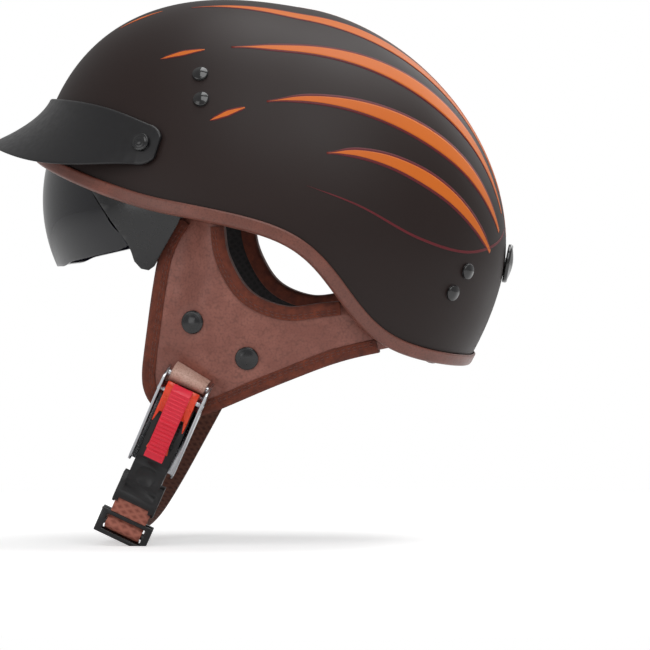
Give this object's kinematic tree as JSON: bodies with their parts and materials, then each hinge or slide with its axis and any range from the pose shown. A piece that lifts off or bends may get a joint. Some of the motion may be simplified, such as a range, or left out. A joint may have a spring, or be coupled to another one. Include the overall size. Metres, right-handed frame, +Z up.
{
  "type": "motorcycle half helmet",
  "caption": "Open-face half helmet shell with short peak, drop-down sun lens, padded ear covers and ratchet-buckle chin strap.",
  "frame": {"origin": "centre of the dome on its widest line, where the wearer's head sits inside", "axes": "+Z up through the crown, -Y where the wearer looks, +X the wearer's left, where the buckle is"},
  "size_m": [0.2438, 0.3165, 0.3279],
  "materials": {
    "shell_paint": "very dark brown satin paint on moulded ABS",
    "trim_vinyl": "brown soft vinyl with a low gloss",
    "foam_black": "black expanded polystyrene, fine bead texture",
    "lining_fabric": "black knitted polyester, quilted",
    "leather_brown": "brown grained artificial leather, padded",
    "rivet_black": "gloss black lacquer",
    "webbing_black": "black woven polyester webbing",
    "plastic_black": "satin black moulded nylon",
    "plastic_gloss": "gloss black moulded nylon",
    "steel_screw": "plated steel",
    "lens_smoke": "dark smoke polycarbonate, polished",
    "suede_rust": "rust-coloured suede with stitching",
    "strap_tan": "pink-tan leather, raw folded edge",
    "strap_brown": "dark brown soft leather over webbing",
    "buckle_chrome": "bright chrome-plated steel",
    "lever_orange": "translucent orange-red nylon",
    "lever_red": "bright red nylon, ribbed"
  },
  "bodies": {
    "helmet": {"outer_shell": "shell_paint", "edge_trim": "trim_vinyl", "impact_liner": "foam_black", "crown_pad": "lining_fabric", "headband": "lining_fabric", "neck_roll": "leather_brown", "front_rivets": "rivet_black", "rear_rivets": "rivet_black", "rear_button": "rivet_black", "webbing_left": "webbing_black", "webbing_right": "webbing_black", "lens_bracket_left": "plastic_black", "lens_bracket_right": "plastic_black", "lens_screw_left": "steel_screw", "lens_screw_right": "steel_screw", "peak_studs": "steel_screw", "ear_cover_left": "leather_brown", "ear_cover_right": "leather_brown", "ear_binding_left": "suede_rust", "ear_binding_right": "suede_rust", "ear_lining_left": "lining_fabric", "ear_lining_right": "lining_fabric", "cover_caps_left": "rivet_black", "cover_caps_right": "rivet_black", "strap_left": "strap_tan", "buckle_frame": "buckle_chrome", "lever_pin": "steel_screw", "lever_spring": "steel_screw", "chin_strap": "strap_brown"},
    "lens": {"sun_lens": "lens_smoke", "lens_arm_left": "plastic_gloss", "lens_arm_right": "plastic_gloss"},
    "peak": {"peak": "plastic_black", "peak_caps": "rivet_black"},
    "lever": {"release_lever": "lever_orange", "lever_grip": "lever_red"},
    "tongue": {"ratchet_tongue": "plastic_gloss", "tongue_loop": "strap_brown", "strap_slider": "plastic_gloss"}
  },
  "joints": [
    {"name": "lens_fold", "type": "hinge", "parent": "helmet", "child": "lens", "pos_m": [0, -0.044, 0.008], "axis": [-1, 0, 0], "range_deg": [0, 40]},
    {"name": "peak_tilt", "type": "hinge", "parent": "helmet", "child": "peak", "pos_m": [0, -0.072, 0.036], "axis": [-1, 0, 0], "range_deg": [0, 12]},
    {"name": "lever_release", "type": "hinge", "parent": "helmet", "child": "lever", "pos_m": [0.10636, -0.02513, -0.10109], "axis": [0, -0.9677, 0.2521], "range_deg": [0, 38], "stiffness_Nm_per_rad": 0.03, "springref_deg": -11.46},
    {"name": "tongue_slide", "type": "slide", "parent": "helmet", "child": "tongue", "axis": [-0.2924, -0.2411, -0.9254], "range_m": [-0.006, 0.014], "deforming": ["chin_strap"]}
  ]
}
